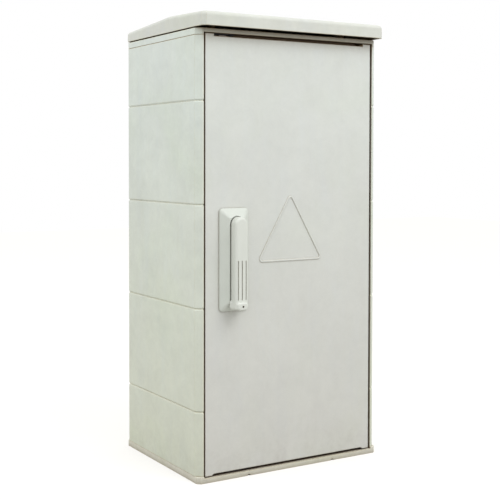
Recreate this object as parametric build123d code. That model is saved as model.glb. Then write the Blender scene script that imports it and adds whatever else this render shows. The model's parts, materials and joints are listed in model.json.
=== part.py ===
from build123d import *
import math
import os

# A glass-fibre cabinet for cables and meters, in millimetres.
# +Z is up, the door faces -Y and hangs on the +X side.
# The origin is the middle of the body's plan, on the underside of the base.

# Clearances shared by all pieces
FIT = 0.3
TIGHT = 0.02
RUNNING = 0.05
OVERRUN = 1

# Body
BODY_WIDTH = 400
BODY_DEPTH = 288
WALL_HEIGHT = 780
SHEET = 4
CORNER_CHAMFER = 10
FRONT_LIP = 3
WALL_FLANGE = 20
STOP_FLANGE = 14
GROOVE_HEIGHT = 5
GROOVE_DEPTH = 1.8
GROOVE_SHARES = (0.147, 0.382, 0.618, 0.853)

# Rear wall, held in a groove of each side wall
REAR_LEAF = 28
REAR_GROOVE = 12
REAR_RIB = 12
REAR_STIFFENER = 8
REAR_STIFFENER_SHARES = (-0.2, 0, 0.2)
WALL_BOLT_RADIUS = 4.5
WALL_BOLT_SPACING_X = 240
WALL_BOLT_SPACING_Z = 664

# Base and top plate
BASE_HEIGHT = 12
BASE_TOE = 2.5
BASE_CHAMFER = 6
BASE_NOTCH_WIDTH = 5
BASE_NOTCH_HEIGHT = 3
BASE_NOTCH_DEPTH = 2.5
BASE_NOTCH_SPACING = 188
TOP_HEIGHT = 12
SEAM = 1
SILL_DROP = 3
LINTEL_RISE = 5
STOP_RIB = 18
STOP_TAB_WIDTH = 30
STOP_TAB_SHARES = (-0.14, 0.08, 0.3)
FOOT_RADIUS = 13
FOOT_BOLT_RADIUS = 5.5
FOOT_BOLT_INSET_X = 55
FOOT_BOLT_INSET_Y = 49
TOP_SLOT_LENGTH = 60
TOP_SLOT_WIDTH = 6
TOP_SLOT_PITCH = 90
TOP_SLOT_COUNT = 3
TOP_SLOT_ROW = 56

# Roof
ROOF_GAP = 2.5
ROOF_OVERHANG = 20.5
ROOF_CHAMFER = 7
ROOF_FRONT_RISE = 25
ROOF_RIDGE_RISE = 30
ROOF_BACK_RISE = 19
ROOF_RIDGE_SETBACK = 131
ROOF_EDGE_ROUND = 8
ROOF_BOSS_RADIUS = 9
ROOF_BOSS_INSET_X = 55
ROOF_BOSS_INSET_Y = 49

# Cable entry in the base
ENTRY_WIDTH = 220
ENTRY_DEPTH = 120
ENTRY_MARGIN = 15
ENTRY_SHEET = 3
GROMMET_PITCH = 68
GROMMET_COUNT = 3
GROMMET_RADIUS = 21
GROMMET_LIP = 4
GROMMET_SKIN = 2
GROMMET_RISE = 9

# Mounting plate inside
PLATE_WIDTH = 300
PLATE_HEIGHT = 600
PLATE_SHEET = 2
PLATE_STANDOFF = 22
PLATE_BOSS_RADIUS = 8
PLATE_BOSS_INSET = 20
PLATE_CORNER = 6

# Door
DOOR_GAP = 3.5
DOOR_END_GAP = 1.2
DOOR_SETBACK = 1
DOOR_SHEET = 4
DOOR_RIM = 16
DOOR_EDGE_ROUND = 1.5
DOOR_TAB = 18
DOOR_TAB_SLOPE = 4
DOOR_LOW_VENT = 3
DOOR_HIGH_VENT = 4.5
DOOR_STOP_GAP = 0.6
DOOR_RIB_DEPTH = 7.5
DOOR_RIB_WIDTH = 3
DOOR_RIB_SHARES = (0.18, 0.36, 0.68, 0.86)

# Hinge
HINGE_INSET = 10
HINGE_DEPTH = 8
HINGE_BLOCK_WIDTH = 20
HINGE_BLOCK_HEIGHT = 24
HINGE_STOP_SETBACK = 24
HINGE_PIN_RADIUS = 4
HINGE_PIN_ENGAGE = 14
HINGE_PIN_ROOT = 10
BUSH_RADIUS = 6
BUSH_FLANGE_RADIUS = 7.5
BUSH_LENGTH = 16
BUSH_LIFT_GAP = 0.4

# Handle escutcheon
HANDLE_INSET = 57.5
HUB_Z = 459
ESCUTCHEON_WIDTH = 60
ESCUTCHEON_HEIGHT = 184
ESCUTCHEON_DROP = 64
ESCUTCHEON_RISE = 14
ESCUTCHEON_EDGE = 3
ESCUTCHEON_CORNER = 7
ESCUTCHEON_SIDE_BEVEL = 14
ESCUTCHEON_END_BEVEL = 16
TROUGH_DEPTH = 3
TROUGH_MARGIN = 1.6
TROUGH_LENGTH = 138
HUB_POCKET_RADIUS = 12.5
HUB_POCKET_FLOOR = 3.5
SLEEVE_RADIUS = 10
SLEEVE_REACH = 3
ESCUTCHEON_SCREW_DROPS = (36, 128)

# Swing lever
LEVER_WIDTH = 26
LEVER_LENGTH = 152
LEVER_GAP = 0.5
LEVER_FRONT = 31
LEVER_ROUND = 5
LEVER_FOOT_WIDTH = 31.5
LEVER_FOOT_TOP = 134
LEVER_NOSE_FRONT = 35.5
LEVER_NOSE_WIDTH = 19
LEVER_NOSE_TOP = 138
LEVER_NOSE_ROUND = 3.4
LEVER_WALL = 4
LEVER_CAVITY_TOP = 18
LEVER_CAVITY_END = 14
LEVER_PIVOT = 21
LEVER_PIN_SKIN = 1.5
GRIP_GROOVE_WIDTH = 2.2
GRIP_GROOVE_DEPTH = 1.6
GRIP_GROOVE_PITCH = 8
GRIP_GROOVE_COUNT = 3
GRIP_GROOVE_TOP = 64
GRIP_GROOVE_END = 134
EYE_RADIUS = 2
EYE_DEPTH = 8
EYE_DROP = 145

# Spindle, cam and cross pin
SPINDLE_RADIUS = 6
SPINDLE_DISC_RADIUS = 9
SPINDLE_DISC = 3.2
TONGUE_WIDTH = 11
TONGUE_HEIGHT = 8
TONGUE_NOSE = 4.5
TONGUE_SIDE_GAP = 0.5
TONGUE_SWING_TOP = 9.5
CROSS_PIN_RADIUS = 2.2
CAM_GAP = 0.5
CAM_SHEET = 4
CAM_ARM = 16
CAM_EAR = 6
CAM_HUB_RADIUS = 10
CAM_SQUARE = 8
CAM_PIN_RADIUS = 3
CAM_PIN_LENGTH = 5
CAM_REST_ANGLE = 135
CAM_NUT_FLATS = 10
CAM_NUT_HEIGHT = 5
STUD_RADIUS = 3
STUD_LENGTH = 8

# Locking rods, their guides and keepers
ROD_WIDTH = 15
ROD_SHEET = 4
ROD_OFFSET = 14.5
ROD_GAP = 0.5
ROD_END_GAP = 1
FORK_PLAY = 0.8
FORK_WALL = 4
GUIDE_WIDTH = 50
GUIDE_HEIGHT = 14
GUIDE_WALL = 3
GUIDE_PAD = 4
GUIDE_RISE = 190
GUIDE_PLAY = 0.4
KEEPER_WIDTH = 46
KEEPER_DEPTH = 12
KEEPER_SHEET = 1.5
KEEPER_PLAY = 1
KEEPER_SCREW_INSET = 6
KEEPER_SCREW_RADIUS = 1.5

# Screws
SCREW_RADIUS = 2.5
SCREW_LENGTH = 11
SMALL_SCREW_RADIUS = 2
SMALL_SCREW_LENGTH = 6
ROOF_SCREW_RADIUS = 3
ROOF_SCREW_LENGTH = 26
HEAD_WIDTH_SHARE = 2
HEAD_HEIGHT_SHARE = 1.3
SOCKET_SHARE = 1.1
BOSS_SHARE = 2.4
WALL_SCREW_SHARES = (0.12, 0.88)

# Places worked out from the sizes above
CHAMFER_INSET_SHARE = 2 - math.sqrt(2)
HALF_WIDTH = BODY_WIDTH / 2
FRONT = -BODY_DEPTH / 2
BACK = BODY_DEPTH / 2
WALL_TOP = BASE_HEIGHT + WALL_HEIGHT
ROOF_BOTTOM = WALL_TOP + TOP_HEIGHT + ROOF_GAP
ROOF_FRONT = FRONT - ROOF_OVERHANG
OPENING_HALF = HALF_WIDTH - CORNER_CHAMFER - FRONT_LIP
LEAF_END = HALF_WIDTH - CORNER_CHAMFER - REAR_LEAF
GROOVE_FLOOR = LEAF_END + REAR_GROOVE
REAR_SLOT = SHEET + 2 * FIT
REAR_INNER = BACK - 2 * SHEET - REAR_SLOT
REAR_FACE = BACK - SHEET - FIT

DOOR_FRONT = FRONT + DOOR_SETBACK
DOOR_INSIDE = DOOR_FRONT + DOOR_SHEET
DOOR_BACK = DOOR_FRONT + DOOR_RIM
DOOR_HALF = OPENING_HALF - DOOR_GAP
SILL = BASE_HEIGHT - SILL_DROP
LINTEL = WALL_TOP + LINTEL_RISE
DOOR_BOTTOM = SILL + DOOR_END_GAP
DOOR_TOP = LINTEL - DOOR_END_GAP
LOCK_STOP = DOOR_BACK + DOOR_STOP_GAP
HINGE_STOP = FRONT + HINGE_STOP_SETBACK
HINGE_X = DOOR_HALF - HINGE_INSET
HINGE_Y = DOOR_FRONT + HINGE_DEPTH
HINGE_SWEEP = math.hypot(DOOR_HALF - HINGE_X, DOOR_BACK - HINGE_Y) + FIT

HANDLE_X = HANDLE_INSET - DOOR_HALF
CAM_FRONT = DOOR_INSIDE + SLEEVE_REACH + CAM_GAP
CAM_BACK = CAM_FRONT + CAM_SHEET
ROD_FRONT = CAM_BACK + ROD_GAP
ROD_BACK = ROD_FRONT + ROD_SHEET
ROD_MIDDLE = (ROD_FRONT + ROD_BACK) / 2
CAM_RISE = CAM_ARM * math.sin(math.radians(CAM_REST_ANGLE))
UPPER_ROD_X = HANDLE_X - ROD_OFFSET
LOWER_ROD_X = HANDLE_X + ROD_OFFSET
LEVER_BACK = ESCUTCHEON_RISE + LEVER_GAP


def block(x0, x1, y0, y1, z0, z1):
    """A box between two corners."""
    middle = Pos((x0 + x1) / 2, (y0 + y1) / 2, (z0 + z1) / 2)
    return middle * Box(x1 - x0, y1 - y0, z1 - z0)


def plan_face(points, z=0):
    """A flat face in plan, at height z."""
    return Pos(0, 0, z) * make_face(Polyline(*points, close=True))


def upright(points, z0, z1):
    """A plan outline raised from z0 to z1."""
    return extrude(plan_face(points, z0), amount=z1 - z0, dir=(0, 0, 1))


def frontal(face, y0, y1):
    """A face drawn as seen from the front (X, Z), running from y0 back to y1."""
    plane = Plane(origin=(0, y0, 0), x_dir=(1, 0, 0), z_dir=(0, -1, 0))
    return extrude(plane * face, amount=y1 - y0, dir=(0, 1, 0))


def sideways(face, x0, x1):
    """A face drawn in (Y, Z), running from x0 to x1."""
    plane = Plane(origin=(x0, 0, 0), x_dir=(0, 1, 0), z_dir=(1, 0, 0))
    return extrude(plane * face, amount=x1 - x0, dir=(1, 0, 0))


def polygon(points):
    return make_face(Polyline(*points, close=True))


def bar_x(y, z, x0, x1, radius):
    return Pos((x0 + x1) / 2, y, z) * Rot(0, 90, 0) * Cylinder(radius, x1 - x0)


def bar_y(x, z, y0, y1, radius):
    return Pos(x, (y0 + y1) / 2, z) * Rot(90, 0, 0) * Cylinder(radius, y1 - y0)


def bar_z(x, y, z0, z1, radius):
    return Pos(x, y, (z0 + z1) / 2) * Cylinder(radius, z1 - z0)


def corners(spacing_a, spacing_b):
    """The four corners of a bolt rectangle about its middle."""
    return [(a * spacing_a / 2, b * spacing_b / 2) for a in (-1, 1) for b in (-1, 1)]


def row(count, pitch):
    """Places evenly spaced about the middle."""
    return [(index - (count - 1) / 2) * pitch for index in range(count)]


def screw(origin, head_side, radius, length):
    """A socket screw whose head sits at origin, on the side that head_side points to."""
    head_radius = radius * HEAD_WIDTH_SHARE
    head_height = radius * HEAD_HEIGHT_SHARE
    head = Pos(0, 0, head_height / 2) * Cylinder(head_radius, head_height)
    socket = extrude(RegularPolygon(radius * SOCKET_SHARE, 6), amount=head_height / 2)
    shank = Pos(0, 0, -length / 2) * Cylinder(radius, length)
    whole = head + shank - Pos(0, 0, head_height / 2) * socket
    return Plane(origin=origin, z_dir=head_side) * whole


def group(shapes):
    return Compound(children=list(shapes))


def body_outline(inset=0, toe=0, chamfer=CORNER_CHAMFER):
    """The plan of the body with its corners cut off, drawn in by inset."""
    half = HALF_WIDTH - inset
    front = FRONT - toe + inset
    back = BACK - inset
    leg = chamfer - inset * CHAMFER_INSET_SHARE
    return [
        (-half + leg, front), (half - leg, front), (half, front + leg), (half, back - leg),
        (half - leg, back), (-half + leg, back), (-half, back - leg), (-half, front + leg),
    ]


# Side walls

def groove_ring(z):
    """A V-shaped ring round the body, which cuts one moulded groove."""
    half = GROOVE_HEIGHT / 2
    ring = upright(body_outline(-OVERRUN), z - half, z + half)
    for edge in (z - half, z + half):
        ring -= loft([plan_face(body_outline(), edge), plan_face(body_outline(GROOVE_DEPTH), z)])
    return ring


def flange_span():
    """The run of a wall's end flanges, from the hinge stop to the rear groove."""
    return HINGE_STOP + SHEET, REAR_INNER


def wall_screw_places():
    y0, y1 = flange_span()
    x = HALF_WIDTH - SHEET - WALL_FLANGE / 2
    return [(side * x, y0 + share * (y1 - y0)) for side in (-1, 1) for share in WALL_SCREW_SHARES]


def side_wall(stop):
    """The right-hand wall: one moulding with lip, door stop, rear groove and end flanges."""
    inner = HALF_WIDTH - SHEET
    leg = CORNER_CHAMFER - SHEET * CHAMFER_INSET_SHARE
    rebate = OPENING_HALF + SHEET
    points = [
        (OPENING_HALF, FRONT),
        (HALF_WIDTH - CORNER_CHAMFER, FRONT),
        (HALF_WIDTH, FRONT + CORNER_CHAMFER),
        (HALF_WIDTH, BACK - CORNER_CHAMFER),
        (HALF_WIDTH - CORNER_CHAMFER, BACK),
        (LEAF_END, BACK),
        (LEAF_END, BACK - SHEET),
        (GROOVE_FLOOR, BACK - SHEET),
        (GROOVE_FLOOR, BACK - SHEET - REAR_SLOT),
        (LEAF_END, BACK - SHEET - REAR_SLOT),
        (LEAF_END, REAR_INNER),
        (GROOVE_FLOOR + SHEET, REAR_INNER),
        (GROOVE_FLOOR + SHEET, BACK - SHEET),
        (inner - leg, BACK - SHEET),
        (inner, BACK - SHEET - leg),
        (inner, FRONT + SHEET + leg),
        (rebate, FRONT + SHEET + leg - (inner - rebate)),
        (rebate, stop + SHEET),
        (OPENING_HALF - STOP_FLANGE, stop + SHEET),
        (OPENING_HALF - STOP_FLANGE, stop),
        (OPENING_HALF, stop),
    ]
    wall = upright(points, BASE_HEIGHT, WALL_TOP)
    y0, y1 = flange_span()
    for z0 in (BASE_HEIGHT, WALL_TOP - SHEET):
        wall += block(inner - WALL_FLANGE, inner, y0, y1, z0, z0 + SHEET)
    for x, y in wall_screw_places():
        wall -= bar_z(x, y, BASE_HEIGHT - OVERRUN, BASE_HEIGHT + SHEET + OVERRUN, SCREW_RADIUS + FIT)
        wall -= bar_z(x, y, WALL_TOP - SHEET - OVERRUN, WALL_TOP + OVERRUN, SCREW_RADIUS + FIT)
    for share in GROOVE_SHARES:
        wall -= groove_ring(BASE_HEIGHT + share * WALL_HEIGHT)
    return wall


def wall_screws():
    bottom = [
        screw((x, y, BASE_HEIGHT + SHEET), (0, 0, 1), SCREW_RADIUS, SCREW_LENGTH)
        for x, y in wall_screw_places()
    ]
    top = [
        screw((x, y, WALL_TOP - SHEET), (0, 0, -1), SCREW_RADIUS, SCREW_LENGTH)
        for x, y in wall_screw_places()
    ]
    return group(bottom + top)


# Rear wall

def plate_boss_places():
    spacing_x = PLATE_WIDTH - 2 * PLATE_BOSS_INSET
    spacing_z = PLATE_HEIGHT - 2 * PLATE_BOSS_INSET
    middle = BASE_HEIGHT + WALL_HEIGHT / 2
    return [(x, middle + z) for x, z in corners(spacing_x, spacing_z)]


def wall_bolt_places():
    middle = BASE_HEIGHT + WALL_HEIGHT / 2
    return [(x, middle + z) for x, z in corners(WALL_BOLT_SPACING_X, WALL_BOLT_SPACING_Z)]


def rear_wall():
    half = GROOVE_FLOOR - FIT
    front = REAR_FACE - SHEET
    wall = block(-half, half, front, REAR_FACE, BASE_HEIGHT, WALL_TOP - FIT)
    for share in REAR_STIFFENER_SHARES:
        x = share * BODY_WIDTH
        wall += block(
            x - SHEET / 2, x + SHEET / 2, front - REAR_STIFFENER, front,
            BASE_HEIGHT + 2 * REAR_RIB, WALL_TOP - 2 * REAR_RIB)
    for x, z in plate_boss_places():
        wall += bar_y(x, z, front - PLATE_STANDOFF, front, PLATE_BOSS_RADIUS)
        wall -= bar_y(x, z, front - PLATE_STANDOFF - OVERRUN, front - SHEET, SCREW_RADIUS + TIGHT)
    for x, z in wall_bolt_places():
        wall -= bar_y(x, z, front - OVERRUN, REAR_FACE + OVERRUN, WALL_BOLT_RADIUS)
    return wall


def mounting_plate():
    back = REAR_FACE - SHEET - PLATE_STANDOFF
    middle = BASE_HEIGHT + WALL_HEIGHT / 2
    outline = Pos(0, middle) * RectangleRounded(PLATE_WIDTH, PLATE_HEIGHT, PLATE_CORNER)
    plate = frontal(outline, back - PLATE_SHEET, back)
    for x, z in plate_boss_places():
        plate -= bar_y(x, z, back - PLATE_SHEET - OVERRUN, back + OVERRUN, SCREW_RADIUS + FIT)
    return plate


def mounting_plate_screws():
    y = REAR_FACE - SHEET - PLATE_STANDOFF - PLATE_SHEET
    return group(
        screw((x, y, z), (0, -1, 0), SCREW_RADIUS, SCREW_LENGTH) for x, z in plate_boss_places())


# Base and top plate, drawn as the top plate with z = 0 where the walls end

def keeper_screw_places(rod_x):
    reach = KEEPER_WIDTH / 2 - KEEPER_SCREW_INSET
    return [(rod_x - reach, ROD_MIDDLE), (rod_x + reach, ROD_MIDDLE)]


def doorway_pockets(rod_x):
    """The stepped places of an end plate in plan: under the door, behind its hinge and at the keeper."""
    keeper_room = KEEPER_WIDTH / 2 + FIT
    keeper_back = ROD_MIDDLE + KEEPER_DEPTH / 2 + FIT
    return [
        (-OPENING_HALF, OPENING_HALF, LOCK_STOP),
        (HINGE_X - HINGE_SWEEP, OPENING_HALF, HINGE_STOP),
        (rod_x - keeper_room, rod_x + keeper_room, keeper_back),
    ]


def end_plate(height, toe, corner, rod_x, step):
    """A tray that closes the walls' end, stepped back at the door, with ribs and stops behind it."""
    outline = body_outline(toe=toe, chamfer=corner)
    whole = upright(outline, 0, height)
    whole = chamfer(whole.faces().sort_by(Axis.Z)[0].edges(), SEAM)
    plate = whole - upright(body_outline(SHEET, toe, corner), SHEET, height + OVERRUN)
    rear_end = LEAF_END - FIT
    plate += block(-rear_end, rear_end, BACK - SHEET, BACK, -REAR_RIB, 0)
    plate += block(-rear_end, rear_end, REAR_INNER, REAR_INNER + SHEET, -REAR_RIB, 0)
    for share in STOP_TAB_SHARES:
        x = share * BODY_WIDTH
        half = STOP_TAB_WIDTH / 2
        plate += block(x - half, x + half, LOCK_STOP, LOCK_STOP + SHEET, -STOP_RIB, 0)
    fixings = [(x, y, SCREW_RADIUS) for x, y in wall_screw_places()]
    fixings += [(x, y, KEEPER_SCREW_RADIUS) for x, y in keeper_screw_places(rod_x)]
    fixings += [(HINGE_X, HINGE_Y, HINGE_PIN_RADIUS)]
    for x, y, radius in fixings:
        plate += bar_z(x, y, 0, height, radius * BOSS_SHARE) & whole
    front = FRONT - toe
    for x0, x1, back in doorway_pockets(rod_x):
        plate += block(x0 - SHEET, x1 + SHEET, front, back + SHEET, 0, step + SHEET) & whole
    for x0, x1, back in doorway_pockets(rod_x):
        plate -= block(x0, x1, front - OVERRUN, back, -OVERRUN, step)
    for x, y, radius in fixings:
        plate -= bar_z(x, y, -OVERRUN, HINGE_PIN_ROOT, radius + TIGHT)
    return plate


def base_plate():
    tray = mirror(end_plate(BASE_HEIGHT, BASE_TOE, BASE_CHAMFER, LOWER_ROD_X, SILL_DROP), about=Plane.XY)
    base = Pos(0, 0, BASE_HEIGHT) * tray
    for x, y in corners(BODY_WIDTH - 2 * FOOT_BOLT_INSET_X, BODY_DEPTH - 2 * FOOT_BOLT_INSET_Y):
        base += bar_z(x, y, 0, BASE_HEIGHT, FOOT_RADIUS)
        base -= bar_z(x, y, -OVERRUN, BASE_HEIGHT + OVERRUN, FOOT_BOLT_RADIUS)
    frame_x = ENTRY_WIDTH / 2 + SHEET
    frame_y = ENTRY_DEPTH / 2 + SHEET
    base += block(-frame_x, frame_x, -frame_y, frame_y, 0, BASE_HEIGHT)
    for x, y in entry_screw_places():
        base += bar_z(x, y, 0, BASE_HEIGHT, SCREW_RADIUS * BOSS_SHARE)
    base -= block(
        -ENTRY_WIDTH / 2, ENTRY_WIDTH / 2, -ENTRY_DEPTH / 2, ENTRY_DEPTH / 2,
        -OVERRUN, BASE_HEIGHT + OVERRUN)
    for x, y in entry_screw_places():
        base -= bar_z(x, y, BASE_HEIGHT - HINGE_PIN_ROOT, BASE_HEIGHT + OVERRUN, SCREW_RADIUS + TIGHT)
    toe_front = FRONT - BASE_TOE
    for x in row(2, BASE_NOTCH_SPACING):
        base -= block(
            x - BASE_NOTCH_WIDTH / 2, x + BASE_NOTCH_WIDTH / 2,
            toe_front - OVERRUN, toe_front + BASE_NOTCH_DEPTH, -OVERRUN, BASE_NOTCH_HEIGHT)
    return base


def roof_boss_places():
    return corners(BODY_WIDTH - 2 * ROOF_BOSS_INSET_X, BODY_DEPTH - 2 * ROOF_BOSS_INSET_Y)


def top_plate():
    top = Pos(0, 0, WALL_TOP) * end_plate(TOP_HEIGHT, 0, CORNER_CHAMFER, UPPER_ROD_X, LINTEL_RISE)
    for x, y in roof_boss_places():
        top += bar_z(x, y, WALL_TOP, ROOF_BOTTOM, ROOF_BOSS_RADIUS)
        top -= bar_z(x, y, WALL_TOP - OVERRUN, ROOF_BOTTOM + OVERRUN, ROOF_SCREW_RADIUS + FIT)
    for x in row(TOP_SLOT_COUNT, TOP_SLOT_PITCH):
        for y in row(2, TOP_SLOT_ROW):
            slot = Pos(x, y, WALL_TOP - OVERRUN) * SlotOverall(TOP_SLOT_LENGTH, TOP_SLOT_WIDTH)
            top -= extrude(slot, amount=SHEET + 2 * OVERRUN, dir=(0, 0, 1))
    return top


# Cable entry

def entry_screw_places():
    margin = ENTRY_MARGIN
    return corners(ENTRY_WIDTH + margin, ENTRY_DEPTH + margin)


def cable_entry_plate():
    width = ENTRY_WIDTH + 2 * ENTRY_MARGIN
    depth = ENTRY_DEPTH + 2 * ENTRY_MARGIN
    outline = Pos(0, 0, BASE_HEIGHT) * RectangleRounded(width, depth, ENTRY_MARGIN / 2)
    plate = extrude(outline, amount=ENTRY_SHEET, dir=(0, 0, 1))
    top = BASE_HEIGHT + ENTRY_SHEET
    for x in row(GROMMET_COUNT, GROMMET_PITCH):
        plate -= bar_z(x, 0, BASE_HEIGHT - OVERRUN, top + OVERRUN, GROMMET_RADIUS)
    for x, y in entry_screw_places():
        plate -= bar_z(x, y, BASE_HEIGHT - OVERRUN, top + OVERRUN, SCREW_RADIUS + FIT)
    return plate


def entry_plate_screws():
    z = BASE_HEIGHT + ENTRY_SHEET
    return group(
        screw((x, y, z), (0, 0, 1), SCREW_RADIUS, SCREW_LENGTH) for x, y in entry_screw_places())


def cable_grommets():
    """Rubber grommets with a stepped cone that is cut to the cable."""
    below = BASE_HEIGHT - GROMMET_SKIN
    above = BASE_HEIGHT + ENTRY_SHEET
    lip = GROMMET_RADIUS + GROMMET_LIP
    neck = GROMMET_RADIUS - FIT
    inner = neck - GROMMET_SKIN
    profile = polygon([
        (0, above + GROMMET_RISE), (inner / 2, above + GROMMET_RISE), (inner, above + GROMMET_SKIN),
        (lip, above + GROMMET_SKIN), (lip, above), (neck, above), (neck, BASE_HEIGHT),
        (lip, BASE_HEIGHT), (lip, below), (inner, below), (inner, above),
        (inner / 2 - GROMMET_SKIN, above + GROMMET_RISE - GROMMET_SKIN),
        (0, above + GROMMET_RISE - GROMMET_SKIN),
    ])
    grommet = revolve(Plane.XZ * profile, axis=Axis.Z)
    return group(Pos(x, 0, 0) * grommet for x in row(GROMMET_COUNT, GROMMET_PITCH))


# Roof

def roof_outline(inset=0):
    half = HALF_WIDTH - inset
    front = ROOF_FRONT + inset
    back = BACK - inset
    leg = ROOF_CHAMFER - inset * CHAMFER_INSET_SHARE
    return [
        (-half + leg, front), (half - leg, front), (half, front + leg), (half, back - leg),
        (half - leg, back), (-half + leg, back), (-half, back - leg), (-half, front + leg),
    ]


def roof_form(inset, floor):
    """The roof's two slopes over its plan, both drawn in by inset."""
    slopes = [
        (ROOF_FRONT + inset, floor),
        (ROOF_FRONT + inset, ROOF_BOTTOM + ROOF_FRONT_RISE - inset),
        (ROOF_FRONT + ROOF_RIDGE_SETBACK, ROOF_BOTTOM + ROOF_RIDGE_RISE - inset),
        (BACK - inset, ROOF_BOTTOM + ROOF_BACK_RISE - inset),
        (BACK - inset, floor),
    ]
    whole = sideways(polygon(slopes), -HALF_WIDTH + inset, HALF_WIDTH - inset)
    return whole & upright(roof_outline(inset), floor, ROOF_BOTTOM + ROOF_RIDGE_RISE + OVERRUN)


def roof():
    outside = roof_form(0, ROOF_BOTTOM)
    ridge_y = ROOF_FRONT + ROOF_RIDGE_SETBACK
    slopes = outside.faces().sort_by(Axis.Z)[-2:]
    rim = [edge for face in slopes for edge in face.edges() if abs(edge.center().Y - ridge_y) > FIT]
    outside = fillet(rim, ROOF_EDGE_ROUND)
    shell = outside - roof_form(SHEET, ROOF_BOTTOM - OVERRUN)
    for x, y in roof_boss_places():
        peak = ROOF_BOTTOM + ROOF_RIDGE_RISE
        shell += bar_z(x, y, ROOF_BOTTOM, peak, ROOF_BOSS_RADIUS) & outside
    depth = ROOF_SCREW_LENGTH - (ROOF_BOTTOM - WALL_TOP)
    for x, y in roof_boss_places():
        shell -= bar_z(
            x, y, ROOF_BOTTOM - OVERRUN, ROOF_BOTTOM + depth + FIT, ROOF_SCREW_RADIUS + TIGHT)
    return shell


def roof_screws():
    return group(
        screw((x, y, WALL_TOP), (0, 0, -1), ROOF_SCREW_RADIUS, ROOF_SCREW_LENGTH)
        for x, y in roof_boss_places())


# Door

def door_outline(inset=0):
    """The door as seen from the front: a tab at each corner, vents along both ends."""
    half = DOOR_HALF - inset
    tab = DOOR_HALF - DOOR_TAB + inset
    low = DOOR_BOTTOM + inset
    high = DOOR_TOP - inset
    return [
        (-half, low), (-tab - DOOR_TAB_SLOPE, low), (-tab, low + DOOR_LOW_VENT),
        (tab, low + DOOR_LOW_VENT), (tab + DOOR_TAB_SLOPE, low), (half, low),
        (half, high), (tab, high), (tab, high - DOOR_HIGH_VENT),
        (-tab, high - DOOR_HIGH_VENT), (-tab, high), (-half, high),
    ]


def guide_places():
    """X and Z of the rod guides, upper then lower."""
    return [(UPPER_ROD_X, HUB_Z + GUIDE_RISE), (LOWER_ROD_X, HUB_Z - GUIDE_RISE)]


def guide_screw_places(x, z):
    reach = (ROD_WIDTH / 2 + GUIDE_WALL + GUIDE_WIDTH / 2) / 2
    return [(x - reach, z), (x + reach, z)]


def door_panel():
    door = frontal(polygon(door_outline()), DOOR_FRONT, DOOR_BACK)
    door = fillet(door.faces().sort_by(Axis.Y)[0].edges(), DOOR_EDGE_ROUND)
    door -= frontal(polygon(door_outline(DOOR_SHEET)), DOOR_INSIDE, DOOR_BACK + OVERRUN)
    rib_half = DOOR_HALF - DOOR_SHEET / 2
    rib_back = DOOR_INSIDE + DOOR_RIB_DEPTH
    for share in DOOR_RIB_SHARES:
        z = DOOR_BOTTOM + share * (DOOR_TOP - DOOR_BOTTOM)
        door += block(
            -rib_half, rib_half, DOOR_INSIDE, rib_back, z - DOOR_RIB_WIDTH / 2, z + DOOR_RIB_WIDTH / 2)
    block_left = DOOR_HALF - HINGE_BLOCK_WIDTH
    block_right = DOOR_HALF - DOOR_SHEET / 2
    for z0, z1 in (
            (DOOR_BOTTOM, DOOR_BOTTOM + HINGE_BLOCK_HEIGHT), (DOOR_TOP - HINGE_BLOCK_HEIGHT, DOOR_TOP)):
        end = DOOR_SHEET / 2
        door += block(block_left, block_right, DOOR_INSIDE, DOOR_BACK, z0 + end, z1 - end)
        door -= bar_z(HINGE_X, HINGE_Y, z0 - OVERRUN, z0 + BUSH_LENGTH + FIT, BUSH_RADIUS + TIGHT)
        door -= bar_z(HINGE_X, HINGE_Y, z1 - BUSH_LENGTH - FIT, z1 + OVERRUN, BUSH_RADIUS + TIGHT)
    for x, z in guide_places():
        half_pad = GUIDE_WIDTH / 2
        door += block(
            x - half_pad, x + half_pad, DOOR_INSIDE, DOOR_INSIDE + GUIDE_PAD,
            z - GUIDE_HEIGHT / 2, z + GUIDE_HEIGHT / 2)
        for screw_x, screw_z in guide_screw_places(x, z):
            hole = DOOR_INSIDE + GUIDE_PAD + GUIDE_WALL - SMALL_SCREW_LENGTH - FIT
            door -= bar_y(
                screw_x, screw_z, hole, DOOR_INSIDE + GUIDE_PAD + OVERRUN, SMALL_SCREW_RADIUS + TIGHT)
    door -= bar_y(
        HANDLE_X, HUB_Z, DOOR_FRONT - OVERRUN, DOOR_INSIDE + OVERRUN, SLEEVE_RADIUS + FIT)
    for drop in ESCUTCHEON_SCREW_DROPS:
        door -= bar_y(
            HANDLE_X, HUB_Z - drop, DOOR_FRONT - OVERRUN, DOOR_INSIDE + OVERRUN, SCREW_RADIUS + FIT)
    notch = ROD_WIDTH / 2 + KEEPER_PLAY
    for x, z in ((UPPER_ROD_X, DOOR_TOP), (LOWER_ROD_X, DOOR_BOTTOM)):
        reach = max(DOOR_LOW_VENT, DOOR_HIGH_VENT) + DOOR_SHEET + OVERRUN
        door -= block(
            x - notch, x + notch, ROD_FRONT - KEEPER_PLAY, DOOR_BACK + OVERRUN, z - reach, z + reach)
    return door


def hinge_bush(seat, flange):
    """A flanged bush pressed up into the door; seat is the height of the block's end."""
    bush = bar_z(HINGE_X, HINGE_Y, seat, seat + BUSH_LENGTH, BUSH_RADIUS)
    bush += bar_z(HINGE_X, HINGE_Y, seat - flange, seat, BUSH_FLANGE_RADIUS)
    return bush - bar_z(
        HINGE_X, HINGE_Y, seat - flange - OVERRUN, seat + BUSH_LENGTH + OVERRUN,
        HINGE_PIN_RADIUS + RUNNING)


def lower_hinge_bush():
    return hinge_bush(DOOR_BOTTOM, DOOR_END_GAP)


def upper_hinge_bush():
    turned = mirror(hinge_bush(-DOOR_TOP, DOOR_END_GAP - BUSH_LIFT_GAP), about=Plane.XY)
    return turned


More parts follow.
